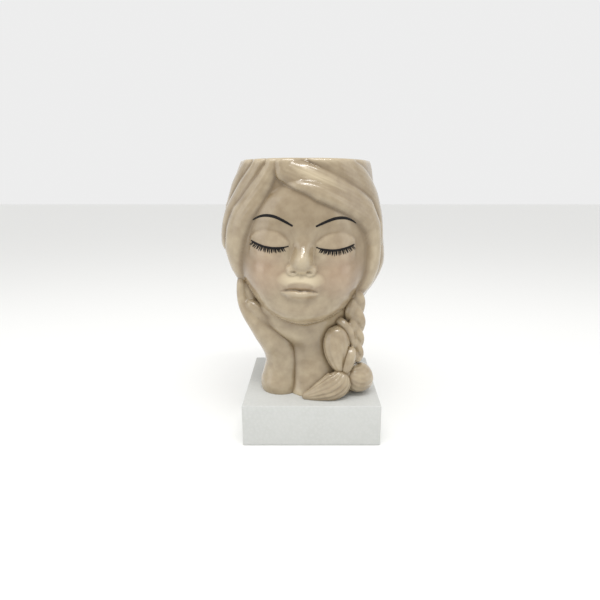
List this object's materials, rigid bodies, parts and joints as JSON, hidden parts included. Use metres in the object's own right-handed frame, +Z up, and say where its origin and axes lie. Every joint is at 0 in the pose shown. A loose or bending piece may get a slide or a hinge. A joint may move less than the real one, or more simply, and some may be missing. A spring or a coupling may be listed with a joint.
{
  "type": "head planter",
  "caption": "Glazed ceramic planter shaped as a resting doll's head, with a raised hand and a plait, on a square white block; the open crown takes a plant.",
  "frame": {"origin": "centre of the square block's underside", "axes": "+Z up, the face looks along -Y, +X is to the right of somebody facing it"},
  "size_m": [0.1451, 0.1281, 0.242],
  "materials": {
    "glaze": "gloss",
    "rubber": "matte",
    "plinth": "matte"
  },
  "bodies": {
    "plinth": {"plinth_block": "plinth"},
    "planter": {"head_shell": "glaze", "forearm_and_hand": "glaze", "hair_lock": "glaze", "braid": "glaze", "braid_tie": "glaze", "braid_tassel": "glaze", "hair_curl": "glaze"},
    "stopper": {"drain_stopper": "rubber"}
  },
  "joints": [
    {"name": "planter_lift", "type": "slide", "parent": "plinth", "child": "planter", "axis": [0, 0, 1], "range_m": [0, 0.06]},
    {"name": "stopper_pull", "type": "slide", "parent": "planter", "child": "stopper", "axis": [0, 0, 1], "range_m": [0, 0.215]}
  ]
}
